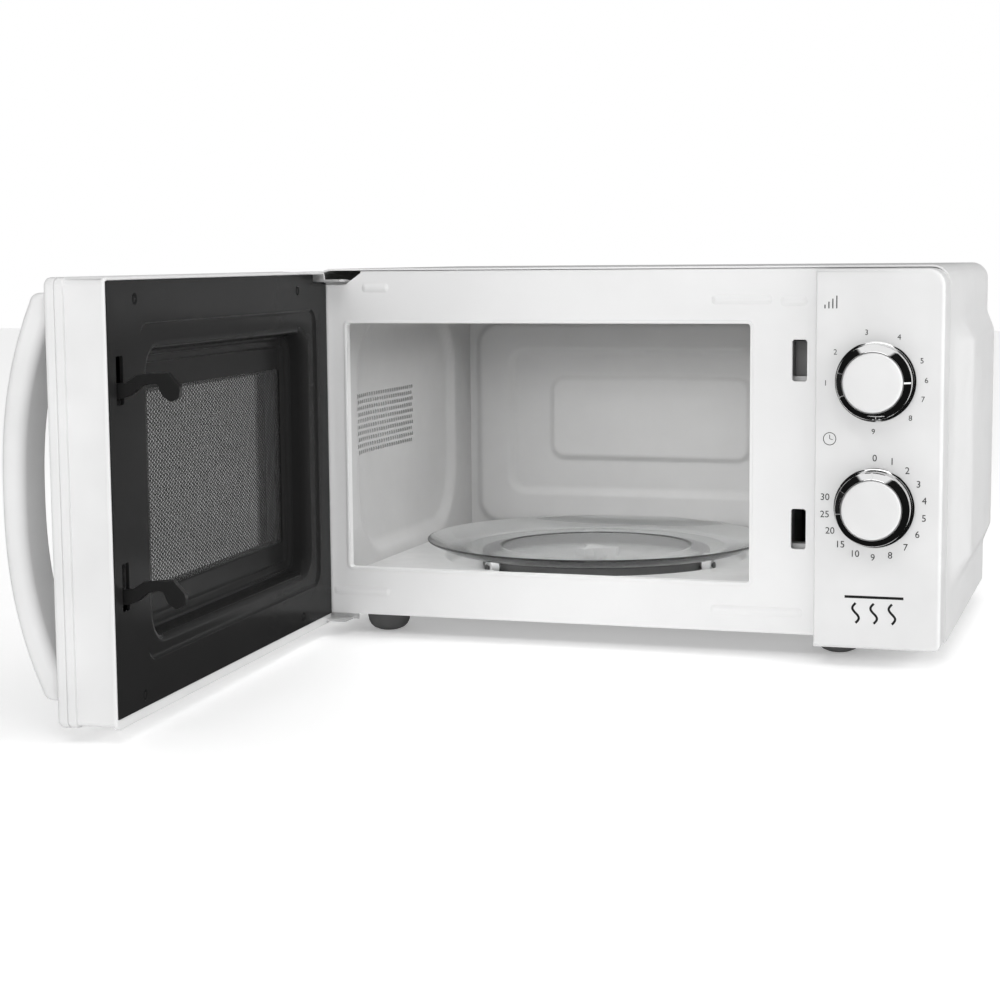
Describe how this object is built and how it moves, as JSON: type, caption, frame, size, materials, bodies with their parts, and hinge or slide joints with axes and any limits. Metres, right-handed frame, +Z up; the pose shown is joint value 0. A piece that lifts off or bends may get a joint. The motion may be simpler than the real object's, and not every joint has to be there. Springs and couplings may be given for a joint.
{
  "type": "microwave oven",
  "caption": "White countertop microwave oven with a side-hinged window door standing open, grey cavity with a glass turntable, and a control panel with rotary knobs.",
  "frame": {"origin": "middle of the oven's outline with the door open, on the surface under the feet", "axes": "+X to the right and +Y to the back as seen from the front, +Z up"},
  "size_m": [0.4898, 0.6508, 0.259],
  "materials": {
    "white_paint": "smooth gloss white paint",
    "white_plastic": "gloss moulded white",
    "cavity_enamel": "satin light grey enamel",
    "black_enamel": "semi-gloss black enamel",
    "black_plastic": "moulded black",
    "dark_plastic": "dark grey moulded",
    "galvanised_steel": "zinc plated",
    "spring_steel": "bright",
    "lamination_steel": "varnished laminations",
    "copper_wire": "enamelled copper wire",
    "chrome": "polished",
    "turntable_glass": "clear pressed glass",
    "clear_film": "clear film",
    "tinted_window": "smoked window",
    "mica": "mica sheet",
    "ceramic_white": "white heat-proof moulding"
  },
  "bodies": {
    "cabinet": {"outer_wrap": "white_paint", "front_frame": "white_paint", "cavity_liner": "cavity_enamel", "cavity_floor": "cavity_enamel", "cavity_back": "cavity_enamel", "base_plate": "galvanised_steel", "rear_panel": "galvanised_steel", "foot_front_left": "dark_plastic", "foot_front_right": "dark_plastic", "foot_rear_left": "dark_plastic", "foot_rear_right": "dark_plastic", "hinge_bracket_upper": "galvanised_steel", "hinge_bracket_lower": "galvanised_steel", "cord_bush": "black_plastic", "control_panel": "white_plastic", "power_selector": "dark_plastic", "timer_body": "dark_plastic", "timer_bell": "spring_steel", "interlock_bracket": "white_plastic", "door_switch_upper": "dark_plastic", "door_switch_middle": "dark_plastic", "door_switch_lower": "dark_plastic", "waveguide": "galvanised_steel", "waveguide_cover": "mica", "magnetron": "galvanised_steel", "transformer_core": "lamination_steel", "transformer_winding": "copper_wire", "capacitor": "spring_steel", "high_voltage_diode": "black_plastic", "fan_shroud": "dark_plastic", "fan_motor": "galvanised_steel", "air_duct": "white_plastic", "oven_lamp": "ceramic_white", "thermal_cutout": "black_plastic", "noise_filter_board": "dark_plastic", "turntable_motor": "galvanised_steel", "grill_element": "spring_steel", "element_clip_left": "mica", "element_clip_right": "mica"},
    "door": {"door_outer_shell": "white_plastic", "door_inner_frame": "black_enamel", "door_window": "tinted_window", "mesh_screen": "black_enamel", "window_film": "clear_film", "door_handle": "white_plastic", "latch_spring": "spring_steel"},
    "latch": {"latch_lever": "black_plastic"},
    "power_knob": {"power_knob": "white_plastic", "power_knob_ring": "chrome", "power_selector_shaft": "spring_steel"},
    "timer_knob": {"timer_knob": "white_plastic", "timer_knob_ring": "chrome", "timer_shaft": "spring_steel"},
    "turntable": {"turntable_glass": "turntable_glass", "drive_coupler": "ceramic_white"},
    "roller_ring": {"roller_ring": "dark_plastic"},
    "roller_wheel_1": {"roller_wheel_1": "ceramic_white"},
    "roller_wheel_2": {"roller_wheel_2": "ceramic_white"},
    "roller_wheel_3": {"roller_wheel_3": "ceramic_white"},
    "fan": {"fan_blade": "ceramic_white"}
  },
  "joints": [
    {"name": "door_hinge", "type": "hinge", "parent": "cabinet", "child": "door", "pos_m": [-0.19706, 0.02787, 0.13], "axis": [0, 0, 1], "range_deg": [-18, 86.8]},
    {"name": "latch_lift", "type": "slide", "parent": "door", "child": "latch", "axis": [0, 0, 1], "range_m": [0, 0.005], "stiffness_N_per_m": 300, "springref_m": -0.003, "deforming": ["latch_spring"]},
    {"name": "power_knob_turn", "type": "hinge", "parent": "cabinet", "child": "power_knob", "pos_m": [0.19514, -0.00963, 0.1857], "axis": [0, 1, 0], "range_deg": [-180, 94]},
    {"name": "timer_knob_turn", "type": "hinge", "parent": "cabinet", "child": "timer_knob", "pos_m": [0.19514, -0.00963, 0.105], "axis": [0, 1, 0], "range_deg": [0, 282]},
    {"name": "turntable_turn", "type": "hinge", "parent": "cabinet", "child": "turntable", "pos_m": [-0.03707, 0.17937, 0.045], "axis": [0, 0, 1], "continuous": true},
    {"name": "roller_ring_turn", "type": "hinge", "parent": "cabinet", "child": "roller_ring", "pos_m": [-0.03707, 0.17937, 0.04], "axis": [0, 0, 1], "continuous": true},
    {"name": "roller_wheel_1_spin", "type": "hinge", "parent": "roller_ring", "child": "roller_wheel_1", "pos_m": [-0.09742, 0.10994, 0.0397], "axis": [-0.6561, -0.7547, 0], "continuous": true},
    {"name": "roller_wheel_2_spin", "type": "hinge", "parent": "roller_ring", "child": "roller_wheel_2", "pos_m": [0.05325, 0.16182, 0.0397], "axis": [0.9816, -0.1908, 0], "continuous": true},
    {"name": "roller_wheel_3_spin", "type": "hinge", "parent": "roller_ring", "child": "roller_wheel_3", "pos_m": [-0.06702, 0.26636, 0.0397], "axis": [-0.3256, 0.9455, 0], "continuous": true},
    {"name": "fan_spin", "type": "hinge", "parent": "cabinet", "child": "fan", "pos_m": [0.17294, 0.30537, 0.165], "axis": [0, 1, 0], "continuous": true}
  ],
  "couplings": [
    {"joint": "roller_ring_turn", "follows": "turntable_turn", "ratio": 0.5},
    {"joint": "roller_wheel_1_spin", "follows": "turntable_turn", "ratio": -8.3636},
    {"joint": "roller_wheel_2_spin", "follows": "turntable_turn", "ratio": -8.3636},
    {"joint": "roller_wheel_3_spin", "follows": "turntable_turn", "ratio": -8.3636}
  ]
}
